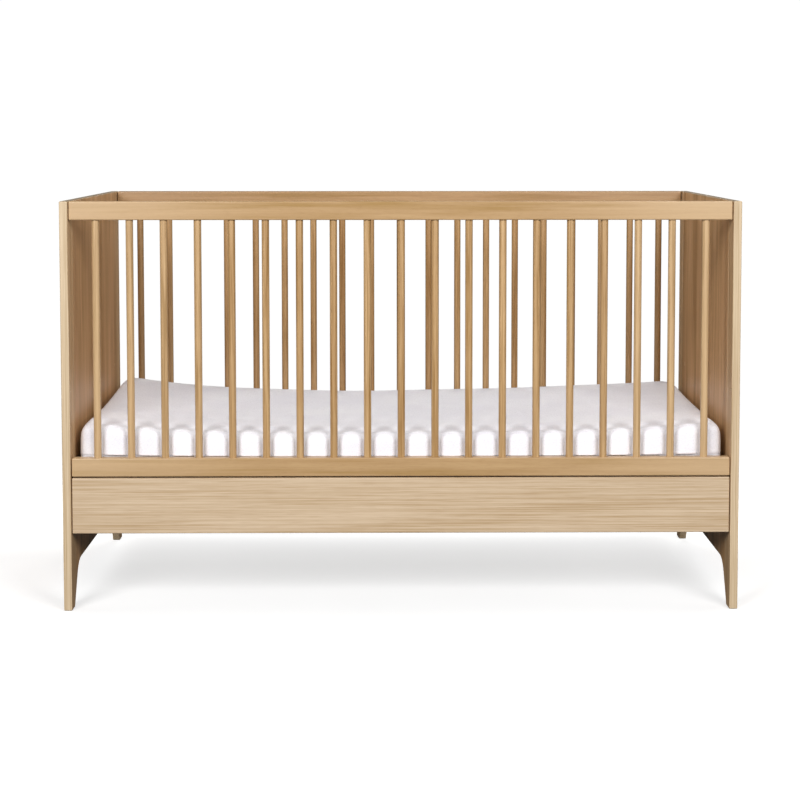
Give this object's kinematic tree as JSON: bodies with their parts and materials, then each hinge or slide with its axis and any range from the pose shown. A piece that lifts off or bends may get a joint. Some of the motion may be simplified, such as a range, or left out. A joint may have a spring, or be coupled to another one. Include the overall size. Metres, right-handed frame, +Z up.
{
  "type": "baby crib",
  "caption": "Slatted baby crib with two solid end panels on tapered legs, round spindles, aprons, a height-adjustable slatted base and a mattress in a white fitted sheet.",
  "frame": {"origin": "on the floor, at the middle of the crib's length and depth", "axes": "+X along the length towards the right end panel, +Y from the front side to the back side, +Z up"},
  "size_m": [1.45, 0.76, 0.88],
  "materials": {
    "panel_oak_veneer": "pale oak veneer with upright grain, clear matt lacquer",
    "rail_beech": "honey-toned solid beech, planed, edges eased, matt lacquer",
    "spindle_beech": "turned beech dowel, matt lacquer",
    "apron_oak_veneer": "pale oak veneer with level grain, clear matt lacquer",
    "base_pine": "planed pine, unlacquered",
    "zinc_steel": "bright zinc plate",
    "sheet_cotton": "white cotton jersey"
  },
  "bodies": {
    "frame": {"left_end_panel": "panel_oak_veneer", "right_end_panel": "panel_oak_veneer", "front_bottom_rail": "rail_beech", "front_top_rail": "rail_beech", "back_bottom_rail": "rail_beech", "back_top_rail": "rail_beech", "front_spindle_01": "spindle_beech", "front_spindle_02": "spindle_beech", "front_spindle_03": "spindle_beech", "front_spindle_04": "spindle_beech", "front_spindle_05": "spindle_beech", "front_spindle_06": "spindle_beech", "front_spindle_07": "spindle_beech", "front_spindle_08": "spindle_beech", "front_spindle_09": "spindle_beech", "front_spindle_10": "spindle_beech", "front_spindle_11": "spindle_beech", "front_spindle_12": "spindle_beech", "front_spindle_13": "spindle_beech", "front_spindle_14": "spindle_beech", "front_spindle_15": "spindle_beech", "front_spindle_16": "spindle_beech", "front_spindle_17": "spindle_beech", "front_spindle_18": "spindle_beech", "front_spindle_19": "spindle_beech", "back_spindle_01": "spindle_beech", "back_spindle_02": "spindle_beech", "back_spindle_03": "spindle_beech", "back_spindle_04": "spindle_beech", "back_spindle_05": "spindle_beech", "back_spindle_06": "spindle_beech", "back_spindle_07": "spindle_beech", "back_spindle_08": "spindle_beech", "back_spindle_09": "spindle_beech", "back_spindle_10": "spindle_beech", "back_spindle_11": "spindle_beech", "back_spindle_12": "spindle_beech", "back_spindle_13": "spindle_beech", "back_spindle_14": "spindle_beech", "back_spindle_15": "spindle_beech", "back_spindle_16": "spindle_beech", "back_spindle_17": "spindle_beech", "back_spindle_18": "spindle_beech", "back_spindle_19": "spindle_beech", "front_apron": "apron_oak_veneer", "back_apron": "apron_oak_veneer", "bottom_rail_bolt_front_left": "zinc_steel", "top_rail_bolt_front_left": "zinc_steel", "bottom_rail_bolt_back_left": "zinc_steel", "top_rail_bolt_back_left": "zinc_steel", "bottom_rail_bolt_front_right": "zinc_steel", "top_rail_bolt_front_right": "zinc_steel", "bottom_rail_bolt_back_right": "zinc_steel", "top_rail_bolt_back_right": "zinc_steel"},
    "base": {"slatted_base": "base_pine", "base_angle_front_left": "zinc_steel", "base_angle_back_left": "zinc_steel", "base_angle_front_right": "zinc_steel", "base_angle_back_right": "zinc_steel"},
    "mattress": {"mattress": "sheet_cotton"}
  },
  "joints": [
    {"name": "base_height", "type": "slide", "parent": "frame", "child": "base", "axis": [0, 0, 1], "range_m": [0, 0.26]},
    {"name": "mattress_lift", "type": "slide", "parent": "base", "child": "mattress", "axis": [0, 0, 1], "range_m": [0, 0.65]}
  ]
}
